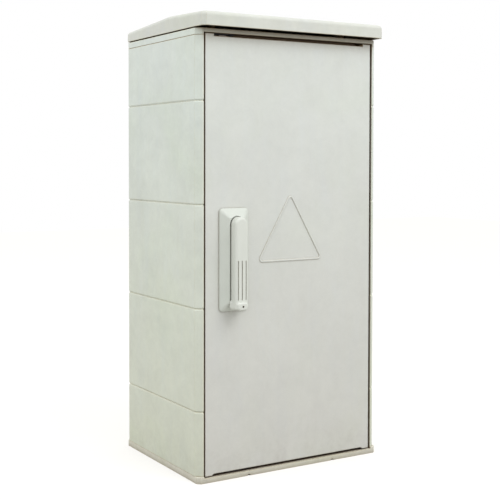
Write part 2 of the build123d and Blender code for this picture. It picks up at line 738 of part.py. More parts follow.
def lower_hinge_pin():
    return bar_z(
        HINGE_X, HINGE_Y, BASE_HEIGHT - HINGE_PIN_ROOT + FIT, DOOR_BOTTOM + HINGE_PIN_ENGAGE,
        HINGE_PIN_RADIUS)


def upper_hinge_pin():
    return bar_z(
        HINGE_X, HINGE_Y, DOOR_TOP - HINGE_PIN_ENGAGE, WALL_TOP + HINGE_PIN_ROOT - FIT,
        HINGE_PIN_RADIUS)


# Handle: depths are counted forwards from the door's front face

def ahead(depth):
    """The Y of a place that lies depth in front of the door."""
    return DOOR_FRONT - depth


def handle_face(face, z=HUB_Z):
    """A face drawn about the hub, as seen from the front."""
    return Pos(HANDLE_X, z) * face


def lever_outline(length, margin=0):
    """The lever from the front: a round head about the hub and a straight grip."""
    radius = LEVER_WIDTH / 2 + margin
    sides = Polyline((-radius, 0), (-radius, -length), (radius, -length), (radius, 0))
    outline = make_face([*sides.edges(), ThreePointArc((radius, 0), (0, radius), (-radius, 0))])
    return fillet(outline.vertices().sort_by(Axis.Y)[:2], LEVER_ROUND)


def handle_escutcheon():
    middle = HUB_Z - ESCUTCHEON_DROP
    foot = handle_face(RectangleRounded(ESCUTCHEON_WIDTH, ESCUTCHEON_HEIGHT, ESCUTCHEON_CORNER), middle)
    crown_width = ESCUTCHEON_WIDTH - 2 * ESCUTCHEON_SIDE_BEVEL
    crown_height = ESCUTCHEON_HEIGHT - 2 * ESCUTCHEON_END_BEVEL
    crown = handle_face(RectangleRounded(crown_width, crown_height, ESCUTCHEON_EDGE), middle)
    edge = frontal(foot, ahead(ESCUTCHEON_EDGE), ahead(0))
    front = Plane(origin=(0, ahead(ESCUTCHEON_EDGE), 0), x_dir=(1, 0, 0), z_dir=(0, -1, 0))
    rise = ESCUTCHEON_RISE - ESCUTCHEON_EDGE
    bevel = loft([front * foot, front.offset(rise) * crown])
    body = edge + bevel
    body -= frontal(
        handle_face(lever_outline(TROUGH_LENGTH, TROUGH_MARGIN)),
        ahead(ESCUTCHEON_RISE + OVERRUN), ahead(ESCUTCHEON_RISE - TROUGH_DEPTH))
    body += bar_y(HANDLE_X, HUB_Z, ahead(OVERRUN), DOOR_INSIDE + SLEEVE_REACH, SLEEVE_RADIUS)
    body -= bar_y(
        HANDLE_X, HUB_Z, ahead(ESCUTCHEON_RISE + OVERRUN), ahead(HUB_POCKET_FLOOR), HUB_POCKET_RADIUS)
    body -= bar_y(
        HANDLE_X, HUB_Z, ahead(ESCUTCHEON_RISE), CAM_FRONT, SPINDLE_RADIUS + RUNNING)
    for drop in ESCUTCHEON_SCREW_DROPS:
        depth = SCREW_LENGTH - DOOR_SHEET + FIT
        body -= bar_y(HANDLE_X, HUB_Z - drop, ahead(depth), ahead(-OVERRUN), SCREW_RADIUS + TIGHT)
    return body


def escutcheon_screws():
    return group(
        screw((HANDLE_X, DOOR_INSIDE, HUB_Z - drop), (0, 1, 0), SCREW_RADIUS, SCREW_LENGTH)
        for drop in ESCUTCHEON_SCREW_DROPS)


def lever_foot():
    """The lever's tip: a skirt at the back that narrows to a nose at the front."""
    skirt_height = LEVER_LENGTH - LEVER_FOOT_TOP
    nose_height = LEVER_LENGTH - LEVER_NOSE_TOP
    skirt = handle_face(
        RectangleRounded(LEVER_FOOT_WIDTH, skirt_height, LEVER_ROUND),
        HUB_Z - LEVER_LENGTH + skirt_height / 2)
    nose = handle_face(
        RectangleRounded(LEVER_NOSE_WIDTH, nose_height, LEVER_ROUND),
        HUB_Z - LEVER_LENGTH + nose_height / 2)
    back = Plane(origin=(0, ahead(LEVER_BACK), 0), x_dir=(1, 0, 0), z_dir=(0, -1, 0))
    foot = loft([back * skirt, back.offset(LEVER_NOSE_FRONT - LEVER_BACK) * nose])
    return fillet(foot.faces().sort_by(Axis.Y)[0].edges(), LEVER_NOSE_ROUND)


def handle_lever():
    half = LEVER_WIDTH / 2
    grip = frontal(handle_face(lever_outline(LEVER_LENGTH)), ahead(LEVER_FRONT), ahead(LEVER_BACK))
    solid = fillet(grip.faces().sort_by(Axis.Y)[0].edges(), LEVER_ROUND) + lever_foot()
    cavity_half = half - LEVER_WALL
    solid -= block(
        HANDLE_X - cavity_half, HANDLE_X + cavity_half,
        ahead(LEVER_FRONT - LEVER_WALL), ahead(LEVER_BACK - OVERRUN),
        HUB_Z - LEVER_LENGTH + LEVER_CAVITY_END, HUB_Z - LEVER_CAVITY_TOP)
    slot = TONGUE_WIDTH / 2 + TONGUE_SIDE_GAP
    nose = TONGUE_NOSE + TONGUE_SIDE_GAP
    solid -= block(
        HANDLE_X - slot, HANDLE_X + slot,
        ahead(LEVER_PIVOT + nose), ahead(LEVER_BACK - OVERRUN),
        HUB_Z - nose, HUB_Z + TONGUE_SWING_TOP)
    solid -= bar_x(
        ahead(LEVER_PIVOT), HUB_Z, HANDLE_X - half + LEVER_PIN_SKIN, HANDLE_X + half + OVERRUN,
        CROSS_PIN_RADIUS + RUNNING)
    groove_run = GRIP_GROOVE_END - GRIP_GROOVE_TOP
    for x in row(GRIP_GROOVE_COUNT, GRIP_GROOVE_PITCH):
        middle = Pos(x, -(GRIP_GROOVE_TOP + GRIP_GROOVE_END) / 2)
        flute = middle * Rot(0, 0, 90) * SlotOverall(groove_run, GRIP_GROOVE_WIDTH)
        solid -= frontal(
            handle_face(flute), ahead(LEVER_FRONT + OVERRUN), ahead(LEVER_FRONT - GRIP_GROOVE_DEPTH))
    solid -= bar_y(
        HANDLE_X, HUB_Z - EYE_DROP, ahead(LEVER_NOSE_FRONT + OVERRUN), ahead(LEVER_NOSE_FRONT - EYE_DEPTH),
        EYE_RADIUS)
    return solid


def lever_pin():
    half = LEVER_WIDTH / 2
    left = HANDLE_X - half + LEVER_PIN_SKIN + FIT
    return bar_x(ahead(LEVER_PIVOT), HUB_Z, left, HANDLE_X + half - FIT, CROSS_PIN_RADIUS)


def spindle():
    disc_back = ahead(HUB_POCKET_FLOOR + FIT)
    disc_front = disc_back - SPINDLE_DISC
    shaft = bar_y(HANDLE_X, HUB_Z, disc_front, CAM_FRONT, SPINDLE_RADIUS)
    shaft += bar_y(HANDLE_X, HUB_Z, disc_front, disc_back, SPINDLE_DISC_RADIUS)
    square = handle_face(Rot(0, 0, CAM_REST_ANGLE) * Rectangle(CAM_SQUARE, CAM_SQUARE))
    shaft += frontal(square, CAM_FRONT, CAM_BACK)
    shaft += bar_y(HANDLE_X, HUB_Z, CAM_BACK, CAM_BACK + STUD_LENGTH, STUD_RADIUS)
    half = TONGUE_WIDTH / 2
    tongue = block(
        HANDLE_X - half, HANDLE_X + half, ahead(LEVER_PIVOT), disc_front,
        HUB_Z - TONGUE_HEIGHT / 2, HUB_Z + TONGUE_HEIGHT / 2)
    tongue += bar_x(ahead(LEVER_PIVOT), HUB_Z, HANDLE_X - half, HANDLE_X + half, TONGUE_NOSE)
    shaft += tongue
    return shaft - bar_x(
        ahead(LEVER_PIVOT), HUB_Z, HANDLE_X - half - OVERRUN, HANDLE_X + half + OVERRUN,
        CROSS_PIN_RADIUS + TIGHT)


def cam_pin_places():
    """Where the drive pins stand at rest: the upper rod's, then the lower rod's."""
    angle = math.radians(CAM_REST_ANGLE)
    x = CAM_ARM * math.cos(angle)
    z = CAM_ARM * math.sin(angle)
    return [(HANDLE_X + x, HUB_Z + z), (HANDLE_X - x, HUB_Z - z)]


def lock_cam():
    """A flat cam with two drive pins and a square hole, turned to its locked place."""
    arm = Rot(0, 0, CAM_REST_ANGLE) * SlotCenterToCenter(2 * CAM_ARM, 2 * CAM_EAR)
    hole = Rot(0, 0, CAM_REST_ANGLE) * Rectangle(CAM_SQUARE + 2 * TIGHT, CAM_SQUARE + 2 * TIGHT)
    cam = frontal(handle_face(arm + Circle(CAM_HUB_RADIUS) - hole), CAM_FRONT, CAM_BACK)
    for x, z in cam_pin_places():
        cam += bar_y(x, z, CAM_FRONT, CAM_BACK + CAM_PIN_LENGTH, CAM_PIN_RADIUS)
    return cam


def cam_nut():
    nut = RegularPolygon(CAM_NUT_FLATS / 2, 6, major_radius=False)
    return frontal(handle_face(nut - Circle(STUD_RADIUS + TIGHT)), CAM_BACK, CAM_BACK + CAM_NUT_HEIGHT)


# Locking rods, guides and keepers

def locking_rod(x, pin_z, end_z):
    """A flat rod whose fork, open towards the spindle, takes a drive pin."""
    inner_side = 1 if x < HANDLE_X else -1
    mouth = CAM_PIN_RADIUS + FORK_PLAY
    tail = pin_z - math.copysign(mouth + FORK_WALL, end_z - pin_z)
    outer = x - inner_side * ROD_WIDTH / 2
    inner = x + inner_side * ROD_WIDTH / 2
    rod = block(
        min(outer, inner), max(outer, inner), ROD_FRONT, ROD_BACK, min(tail, end_z), max(tail, end_z))
    fork_end = HANDLE_X - inner_side * (CAM_ARM + mouth)
    cut_end = inner + inner_side * OVERRUN
    return rod - block(
        min(fork_end, cut_end), max(fork_end, cut_end),
        ROD_FRONT - OVERRUN, ROD_BACK + OVERRUN, pin_z - mouth, pin_z + mouth)


def upper_rod():
    return locking_rod(UPPER_ROD_X, HUB_Z + CAM_RISE, LINTEL - KEEPER_SHEET - ROD_END_GAP)


def lower_rod():
    return locking_rod(LOWER_ROD_X, HUB_Z - CAM_RISE, SILL + KEEPER_SHEET + ROD_END_GAP)


def rod_guide(x, z):
    """A moulded bridge over a rod, with a screw lug at each side."""
    seat = DOOR_INSIDE + GUIDE_PAD
    hump = ROD_WIDTH / 2 + GUIDE_PLAY + GUIDE_WALL
    bottom = z - GUIDE_HEIGHT / 2
    top = z + GUIDE_HEIGHT / 2
    guide = block(x - GUIDE_WIDTH / 2, x + GUIDE_WIDTH / 2, seat, seat + GUIDE_WALL, bottom, top)
    guide += block(x - hump, x + hump, seat, ROD_BACK + GUIDE_PLAY + GUIDE_WALL, bottom, top)
    passage = ROD_WIDTH / 2 + GUIDE_PLAY
    guide -= block(
        x - passage, x + passage, ROD_FRONT - GUIDE_PLAY, ROD_BACK + GUIDE_PLAY,
        bottom - OVERRUN, top + OVERRUN)
    for screw_x, screw_z in guide_screw_places(x, z):
        guide -= bar_y(
            screw_x, screw_z, seat - OVERRUN, seat + GUIDE_WALL + OVERRUN, SMALL_SCREW_RADIUS + FIT)
    return guide


def rod_guide_screws():
    y = DOOR_INSIDE + GUIDE_PAD + GUIDE_WALL
    places = [place for x, z in guide_places() for place in guide_screw_places(x, z)]
    return group(
        screw((x, y, z), (0, 1, 0), SMALL_SCREW_RADIUS, SMALL_SCREW_LENGTH) for x, z in places)


def keeper(rod_x, z0):
    """A strike plate with a hole in line with the rod."""
    half = KEEPER_WIDTH / 2
    depth = KEEPER_DEPTH / 2
    plate = block(
        rod_x - half, rod_x + half, ROD_MIDDLE - depth, ROD_MIDDLE + depth, z0, z0 + KEEPER_SHEET)
    hole_x = ROD_WIDTH / 2 + KEEPER_PLAY
    hole_y = ROD_SHEET / 2 + KEEPER_PLAY
    plate -= block(
        rod_x - hole_x, rod_x + hole_x, ROD_MIDDLE - hole_y, ROD_MIDDLE + hole_y,
        z0 - OVERRUN, z0 + KEEPER_SHEET + OVERRUN)
    for x, y in keeper_screw_places(rod_x):
        plate -= bar_z(x, y, z0 - OVERRUN, z0 + KEEPER_SHEET + OVERRUN, KEEPER_SCREW_RADIUS + FIT)
    return plate


def keeper_screws():
    lower = [
        screw((x, y, SILL + KEEPER_SHEET), (0, 0, 1), KEEPER_SCREW_RADIUS, SMALL_SCREW_LENGTH)
        for x, y in keeper_screw_places(LOWER_ROD_X)
    ]
    upper = [
        screw((x, y, LINTEL - KEEPER_SHEET), (0, 0, -1), KEEPER_SCREW_RADIUS, SMALL_SCREW_LENGTH)
        for x, y in keeper_screw_places(UPPER_ROD_X)
    ]
    return group(lower + upper)


def all_parts():
    upper_guide, lower_guide = guide_places()
    return {
        "left_side_wall": mirror(side_wall(LOCK_STOP), about=Plane.YZ),
        "right_side_wall": side_wall(HINGE_STOP),
        "wall_screws": wall_screws(),
        "rear_wall": rear_wall(),
        "mounting_plate": mounting_plate(),
        "mounting_plate_screws": mounting_plate_screws(),
        "base_plate": base_plate(),
        "top_plate": top_plate(),
        "cable_entry_plate": cable_entry_plate(),
        "entry_plate_screws": entry_plate_screws(),
        "cable_grommets": cable_grommets(),
        "roof": roof(),
        "roof_screws": roof_screws(),
        "lower_hinge_pin": lower_hinge_pin(),
        "upper_hinge_pin": upper_hinge_pin(),
        "lower_keeper": keeper(LOWER_ROD_X, SILL),
        "upper_keeper": keeper(UPPER_ROD_X, LINTEL - KEEPER_SHEET),
        "keeper_screws": keeper_screws(),
        "door_panel": door_panel(),
        "lower_hinge_bush": lower_hinge_bush(),
        "upper_hinge_bush": upper_hinge_bush(),
        "handle_escutcheon": handle_escutcheon(),
        "escutcheon_screws": escutcheon_screws(),
        "upper_rod_guide": rod_guide(*upper_guide),
        "lower_rod_guide": rod_guide(*lower_guide),
        "rod_guide_screws": rod_guide_screws(),
        "spindle": spindle(),
        "lever_pin": lever_pin(),
        "lock_cam": lock_cam(),
        "cam_nut": cam_nut(),
        "handle_lever": handle_lever(),
        "upper_rod": upper_rod(),
        "lower_rod": lower_rod(),
    }


os.makedirs("parts", exist_ok=True)
for node, shape in all_parts().items():
    export_step(shape, f"parts/{node}.step")
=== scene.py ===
import json
import math

import bmesh
import bpy
from mathutils import Matrix, Vector


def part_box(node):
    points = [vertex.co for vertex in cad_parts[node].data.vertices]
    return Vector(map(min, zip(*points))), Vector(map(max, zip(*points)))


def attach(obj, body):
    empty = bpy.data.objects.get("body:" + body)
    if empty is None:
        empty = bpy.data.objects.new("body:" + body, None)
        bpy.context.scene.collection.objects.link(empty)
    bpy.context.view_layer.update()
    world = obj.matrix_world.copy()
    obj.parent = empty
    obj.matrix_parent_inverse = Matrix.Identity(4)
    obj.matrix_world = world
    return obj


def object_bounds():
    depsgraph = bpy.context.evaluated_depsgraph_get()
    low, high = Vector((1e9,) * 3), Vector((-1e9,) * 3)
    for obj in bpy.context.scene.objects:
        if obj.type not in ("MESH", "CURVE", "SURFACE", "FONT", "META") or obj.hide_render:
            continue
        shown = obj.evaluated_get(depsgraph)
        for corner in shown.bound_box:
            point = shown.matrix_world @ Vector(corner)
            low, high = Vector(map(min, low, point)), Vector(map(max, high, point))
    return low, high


# Looks of a glass-fibre cable cabinet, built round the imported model, in metres.

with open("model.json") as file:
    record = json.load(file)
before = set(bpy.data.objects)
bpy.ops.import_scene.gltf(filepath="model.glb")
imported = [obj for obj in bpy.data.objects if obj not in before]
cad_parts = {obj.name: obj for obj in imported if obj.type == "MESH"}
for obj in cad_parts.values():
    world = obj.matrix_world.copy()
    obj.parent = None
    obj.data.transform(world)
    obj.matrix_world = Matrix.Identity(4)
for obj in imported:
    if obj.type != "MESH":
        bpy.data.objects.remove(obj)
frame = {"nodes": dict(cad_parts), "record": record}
cad_low, cad_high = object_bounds()

MM = 0.001

# Camera, fitted to the edges of the cabinet in the picture
IMAGE_SIZE = 500
FOCAL_PIXELS = 1004.5
AXIS_COLUMN = 212.6
AXIS_ROW = 193.0
SENSOR_WIDTH = 36
CAMERA_PLACE = Vector((-1059.5, -1674.8, 572.4)) * MM
CAMERA_HEADING = -0.5268
CAMERA_PITCH = -0.0326
CAMERA_ROLL = 0.0004

# Light
WORLD_STRENGTH = 0.97
WORLD_COLOR = (0.97, 0.985, 1.0, 1)
WHITE = (1, 1, 1, 1)
KEY_POWER = 47
KEY_SIZE = 2.4
KEY_PLACE = Vector((0.9, -2.4, 2.9))
SIDE_POWER = 24.5
SIDE_SIZE = 2.4
SIDE_PLACE = Vector((-3.0, 0.9, 2.2))
SKY_POWER = 2
SKY_SIZE = 3.2
SKY_PLACE = Vector((0.1, -0.3, 3.4))
FLOOR_SIZE = 12
FLOOR_DIFFUSE = (0.40, 0.385, 0.355, 1)
FLOOR_SEEN = 0.63

# Colours, in linear light
# Top and low colours of the mouldings: the darker, yellower low colour is painted shade towards the
# bottom
WALL_TOP = (0.690, 0.735, 0.680, 1)
WALL_LOW = (0.659, 0.680, 0.566, 1)
DOOR_TOP = (0.680, 0.700, 0.660, 1)
DOOR_LOW = (0.640, 0.635, 0.590, 1)
HANDLE_COLOR = (0.705, 0.725, 0.665, 1)
PLATE_COLOR = (0.645, 0.675, 0.615, 1)
ROOF_COLOR = (0.648, 0.658, 0.600, 1)
BASE_COLOR = (0.700, 0.678, 0.578, 1)
SOIL_COLOR = (0.200, 0.138, 0.072, 1)
# Painted shadow of the roof's overhang on the collar
ROOF_SHADOW_COLOR = (0.205, 0.118, 0.038, 1)
# Painted shade deep in gaps and creases
GAP_SHADE_COLOR = (0.150, 0.096, 0.058, 1)
# Yellowish edge band: wear, and a painted highlight on rounded edges
EDGE_COLOR = (0.78, 0.68, 0.42, 1)
WEATHER_TINT = (0.965, 1.0, 0.915, 1)
COOL_TINT = (0.985, 0.995, 1.03, 1)
STEEL_COLOR = (0.55, 0.56, 0.57, 1)
BLACK_PLASTIC = (0.022, 0.022, 0.023, 1)
RUBBER_COLOR = (0.030, 0.029, 0.028, 1)
DULL_ZINC = (0.42, 0.42, 0.40, 1)
DUST_COLOR = (0.20, 0.18, 0.15, 1)

# Mottling of the mouldings: noise scale, detail and half of its range of tone
CLOUDS = ((8, 4, 0.018), (26, 4, 0.015), (70, 5, 0.013))
WALL_MOTTLE = 1.7
DOOR_MOTTLE = 1.0

# Where the mouldings' colour changes, with painted shade low down and a painted roof shadow near the
# top: shares of the total height, then metres
LOW_SHADE_SHARES = (0.06, 0.82)
ROOF_SHADOW_SHARES = (0.90, 0.94)
SPLASH_HEIGHTS = (0.004, 0.085)
GAP_REACH = 16 * MM
ROOF_SHADOW_REACH = 50 * MM
EDGE_ROUND = 1.1 * MM
EDGE_WEAR_AND_HIGHLIGHT = 2.4 * MM

# Blank sign border moulded on the door
SIGN_MIDDLE_X = -2 * MM
SIGN_BASE_Z = 388 * MM
SIGN_SIDE = 141 * MM
SIGN_CORNER = 5 * MM
SIGN_RIDGE = 4.4 * MM
SIGN_RISE = 1.6 * MM
SIGN_SINK = 0.4 * MM


class Paint:
    """A procedural material, built node by node in the object's own metres."""

    def __init__(self, name):
        self.material = bpy.data.materials.new(name)
        self.material.use_nodes = True
        self.tree = self.material.node_tree
        self.tree.nodes.clear()
        self.shader = self.tree.nodes.new("ShaderNodeBsdfPrincipled")
        output = self.tree.nodes.new("ShaderNodeOutputMaterial")
        self.tree.links.new(self.shader.outputs["BSDF"], output.inputs["Surface"])
        self.place = self.tree.nodes.new("ShaderNodeTexCoord").outputs["Object"]

    def feed(self, socket, value):
        """Links a socket, or sets a constant."""
        if isinstance(value, bpy.types.NodeSocket):
            self.tree.links.new(value, socket)
        else:
            socket.default_value = value

    def scaled(self, scale):
        node = self.tree.nodes.new("ShaderNodeMapping")
        node.inputs["Scale"].default_value = scale
        self.feed(node.inputs["Vector"], self.place)
        return node.outputs["Vector"]

    def noise(self, scale, detail=4, roughness=0.55, distortion=0, stretch=None):
        node = self.tree.nodes.new("ShaderNodeTexNoise")
        self.feed(node.inputs["Vector"], self.scaled(stretch) if stretch else self.place)
        node.inputs["Scale"].default_value = scale
        node.inputs["Detail"].default_value = detail
        node.inputs["Roughness"].default_value = roughness
        node.inputs["Distortion"].default_value = distortion
        return node.outputs["Fac"]

    def cells(self, scale):
        node = self.tree.nodes.new("ShaderNodeTexVoronoi")
        self.feed(node.inputs["Vector"], self.place)
        node.inputs["Scale"].default_value = scale
        return node.outputs["Distance"]

    def math(self, operation, first, second):
        node = self.tree.nodes.new("ShaderNodeMath")
        node.operation = operation
        self.feed(node.inputs[0], first)
        self.feed(node.inputs[1], second)
        return node.outputs["Value"]

    def span(self, value, low, high, to_low=0, to_high=1):
        """Maps low..high to to_low..to_high, clamped."""
        node = self.tree.nodes.new("ShaderNodeMapRange")
        self.feed(node.inputs["Value"], value)
        node.inputs["From Min"].default_value = low
        node.inputs["From Max"].default_value = high
        node.inputs["To Min"].default_value = to_low
        node.inputs["To Max"].default_value = to_high
        return node.outputs["Result"]

    def mix(self, share, first, second, blend="MIX"):
        node = self.tree.nodes.new("ShaderNodeMix")
        node.data_type = "RGBA"
        node.blend_type = blend
        self.feed(node.inputs["Factor"], share)
        for socket in node.inputs:
            if socket.type == "RGBA" and socket.name in ("A", "B"):
                self.feed(socket, first if socket.name == "A" else second)
        return next(out for out in node.outputs if out.type == "RGBA")

    def height(self):
        node = self.tree.nodes.new("ShaderNodeSeparateXYZ")
        self.feed(node.inputs[0], self.place)
        return node.outputs["Z"]

    def creases(self, distance, samples=6):
        """Near 1 in the open and lower in gaps and grooves."""
        node = self.tree.nodes.new("ShaderNodeAmbientOcclusion")
        node.samples = samples
        node.inputs["Distance"].default_value = distance
        return node.outputs["AO"]

    def soft_edges(self, radius, samples=4):
        node = self.tree.nodes.new("ShaderNodeBevel")
        node.samples = samples
        node.inputs["Radius"].default_value = radius
        return node.outputs["Normal"]

    def edge_share(self, rounded):
        """How far the rounded normal leans away from the true one."""
        true_normal = self.tree.nodes.new("ShaderNodeNewGeometry").outputs["Normal"]
        node = self.tree.nodes.new("ShaderNodeVectorMath")
        node.operation = "DOT_PRODUCT"
        self.feed(node.inputs[0], rounded)
        self.feed(node.inputs[1], true_normal)
        return self.math("SUBTRACT", 1.0, node.outputs["Value"])

    def bump(self, height, strength, distance, normal):
        node = self.tree.nodes.new("ShaderNodeBump")
        node.inputs["Strength"].default_value = strength
        node.inputs["Distance"].default_value = distance
        self.feed(node.inputs["Height"], height)
        self.feed(node.inputs["Normal"], normal)
        return node.outputs["Normal"]

    def set(self, **sockets):
        for name, value in sockets.items():
            self.feed(self.shader.inputs[name.replace("_", " ")], value)
        return self.material


def glass_fibre(name, top, low, mottle):
    """Moulded polyester with a faint fibre print, dust low down, and painted shade: darker and
    yellower towards the bottom, dust and shade in its gaps and creases, a roof shadow, and worn edges
    with a painted highlight.
    """
    paint = Paint(name)
    total = cad_high.z - cad_low.z
    # Painted shade: the moulding turns darker and yellower towards the bottom
    low_shade = paint.span(paint.height(), *(share * total for share in LOW_SHADE_SHARES))
    color = paint.mix(low_shade, low, top)
    for scale, detail, tone in CLOUDS:
        half = tone * mottle
        cloud = paint.span(paint.noise(scale, detail, 0.6, 0.8), 0.32, 0.68, 1 - half, 1 + half)
        color = paint.mix(1.0, color, cloud, "MULTIPLY")
    weathered = paint.span(paint.noise(5, 3, 0.55, 0.6), 0.48, 0.70, 0, 0.28 * mottle)
    color = paint.mix(weathered, color, WEATHER_TINT, "MULTIPLY")
    cool = paint.span(paint.noise(1, 4, 0.6, 0.3, stretch=(30, 30, 7)), 0.48, 0.70, 0, 0.40 * mottle)
    color = paint.mix(cool, color, COOL_TINT, "MULTIPLY")
    strands = paint.noise(150, 6, 0.7, 2.4)
    flecks = paint.span(strands, 0.34, 0.66, 0.985, 1.012)
    color = paint.mix(1.0, color, flecks, "MULTIPLY")
    streaks = paint.noise(1, 4, 0.6, 0.4, stretch=(38, 38, 3.0))
    runs = paint.span(streaks, 0.52, 0.80, 0, 0.035)
    color = paint.mix(runs, color, SOIL_COLOR)
    splash_height = paint.span(paint.height(), *SPLASH_HEIGHTS, 1, 0)
    splash = paint.math("MULTIPLY", splash_height, paint.span(paint.noise(60, 6, 0.7), 0.42, 0.75))
    color = paint.mix(paint.math("MULTIPLY", splash, 0.16), color, SOIL_COLOR)
    rounded = paint.soft_edges(EDGE_ROUND)
    # Yellowish band along the edges: wear, and a painted highlight on the rounded edges
    wear_and_highlight = paint.span(paint.edge_share(paint.soft_edges(EDGE_WEAR_AND_HIGHLIGHT)), 0.085, 0.17, 0, 0.75)
    color = paint.mix(wear_and_highlight, color, EDGE_COLOR)
    open_share = paint.creases(GAP_REACH)
    # Dust and painted shade: browned and darkened near corners, creases and parts that stand close
    dust = paint.span(open_share, 0.45, 0.85, 0.45, 0)
    color = paint.mix(dust, color, SOIL_COLOR)
    # Painted shadow of the roof: brown and dark where the overhang covers the collar and the top of
    # the walls
    cover_shade = paint.span(paint.creases(ROOF_SHADOW_REACH), 0.45, 0.95, 0.95, 0)
    under_roof = paint.span(paint.height(), *(share * total for share in ROOF_SHADOW_SHARES))
    painted_roof_shadow = paint.math("MULTIPLY", cover_shade, under_roof)
    color = paint.mix(painted_roof_shadow, color, ROOF_SHADOW_COLOR)
    # Painted shade: dark brown deep in gaps and creases, where little light gets in
    gap_shade = paint.span(open_share, 0.22, 0.50, 1, 0)
    color = paint.mix(gap_shade, color, GAP_SHADE_COLOR)
    grain = paint.noise(900, 3, 0.6)
    relief = paint.math("ADD", strands, paint.math("MULTIPLY", grain, 0.35))
    rough = paint.span(paint.noise(38, 5, 0.65), 0.3, 0.7, 0.50, 0.64)
    return paint.set(
        Base_Color=color, Roughness=rough, Specular_IOR_Level=0.35,
        Normal=paint.bump(relief, 0.10, 0.25 * MM, rounded))


def handle_plastic(name, tint):
    """Satin polyamide with a fine moulded grain."""
    paint = Paint(name)
    tone = paint.span(paint.noise(30, 4), 0.3, 0.7, 0.975, 1.02)
    color = paint.mix(1.0, tint, tone, "MULTIPLY")
    # Grime and painted shade: brown and dark in the flutes, the trough and other creases
    grime_and_shade = paint.span(paint.creases(0.006), 0.14, 0.46, 0.95, 0)
    color = paint.mix(grime_and_shade, color, SOIL_COLOR)
    rounded = paint.soft_edges(0.7 * MM)
    grain = paint.noise(1700, 3, 0.6)
    rough = paint.span(paint.noise(120, 4), 0.3, 0.7, 0.36, 0.48)
    return paint.set(
        Base_Color=color, Roughness=rough, Specular_IOR_Level=0.45,
        Normal=paint.bump(grain, 0.08, 0.12 * MM, rounded))


def zinc_steel(name, spangle):
    """Zinc-plated steel with a faint crystal pattern and rolled lines."""
    paint = Paint(name)
    crystal = paint.span(paint.cells(spangle), 0, 0.8, 0.86, 1.08)
    color = paint.mix(1.0, STEEL_COLOR, crystal, "MULTIPLY")
    dull = paint.noise(25, 5, 0.65)
    color = paint.mix(paint.span(dull, 0.5, 0.8, 0, 0.25), color, DULL_ZINC)
    # Painted shade where the steel meets or nears other parts
    color = paint.mix(paint.span(paint.creases(0.03), 0.20, 0.60, 0.9, 0), color, GAP_SHADE_COLOR)
    lines = paint.noise(1, 3, 0.6, 0, stretch=(1800, 1800, 40))
    rough = paint.span(dull, 0.3, 0.7, 0.30, 0.46)
    return paint.set(
        Base_Color=color, Metallic=1.0, Roughness=rough,
        Normal=paint.bump(lines, 0.06, 0.05 * MM, paint.soft_edges(0.4 * MM)))


def dark_plastic(name, tone, low_rough, high_rough, grain_scale):
    """Black acetal, rubber or coated steel with dust and a fine grain."""
    paint = Paint(name)
    dust = paint.span(paint.noise(70, 5, 0.65), 0.45, 0.8, 0, 0.22)
    color = paint.mix(dust, tone, DUST_COLOR)
    rough = paint.span(paint.noise(160, 4), 0.3, 0.7, low_rough, high_rough)
    grain = paint.noise(grain_scale, 3, 0.6)
    return paint.set(
        Base_Color=color, Roughness=rough,
        Normal=paint.bump(grain, 0.12, 0.1 * MM, paint.soft_edges(0.5 * MM)))


def dress_frame():
    """Gives every node the material of its slot, or its own shade of it."""
    looks = {
        "grp_body": glass_fibre("body_glass_fibre", WALL_TOP, WALL_LOW, WALL_MOTTLE),
        "grp_door": glass_fibre("door_glass_fibre", DOOR_TOP, DOOR_LOW, DOOR_MOTTLE),
        "handle_plastic": handle_plastic("handle_polyamide", HANDLE_COLOR),
        "bush_plastic": dark_plastic("black_acetal", BLACK_PLASTIC, 0.32, 0.46, 1500),
        "rubber": dark_plastic("grommet_rubber", RUBBER_COLOR, 0.60, 0.78, 900),
        "black_steel": dark_plastic("black_strike_plate", BLACK_PLASTIC, 0.40, 0.55, 1100),
        "zinc_steel": zinc_steel("zinc_plate", 240),
        "screw_steel": zinc_steel("screw_zinc", 900),
    }
    shades = {
        "roof": glass_fibre("roof_glass_fibre", ROOF_COLOR, ROOF_COLOR, WALL_MOTTLE),
        "base_plate": glass_fibre("base_glass_fibre", BASE_COLOR, BASE_COLOR, WALL_MOTTLE),
        "handle_escutcheon": handle_plastic("plate_polyamide", PLATE_COLOR),
    }
    for entry in frame["record"]["subparts"]:
        node = frame["nodes"][entry["node"]]
        node.data.materials.clear()
        node.data.materials.append(shades.get(entry["node"], looks[entry["material_slot"]]))
    return looks


def rounded_triangle(side, corner, steps=7):
    """The points of an equilateral triangle with round corners, about its base's middle."""
    rise = side * math.sqrt(3) / 2
    tips = [Vector((-side / 2, 0)), Vector((side / 2, 0)), Vector((0, rise))]
    middle = Vector((0, rise / 3))
    points = []
    for tip in tips:
        inward = (middle - tip).normalized()
        centre = tip + inward * 2 * corner
        outward = math.atan2(-inward.y, -inward.x)
        for step in range(steps + 1):
            angle = outward + math.radians(120) * (step / steps - 0.5)
            points.append(centre + Vector((math.cos(angle), math.sin(angle))) * corner)
    return points


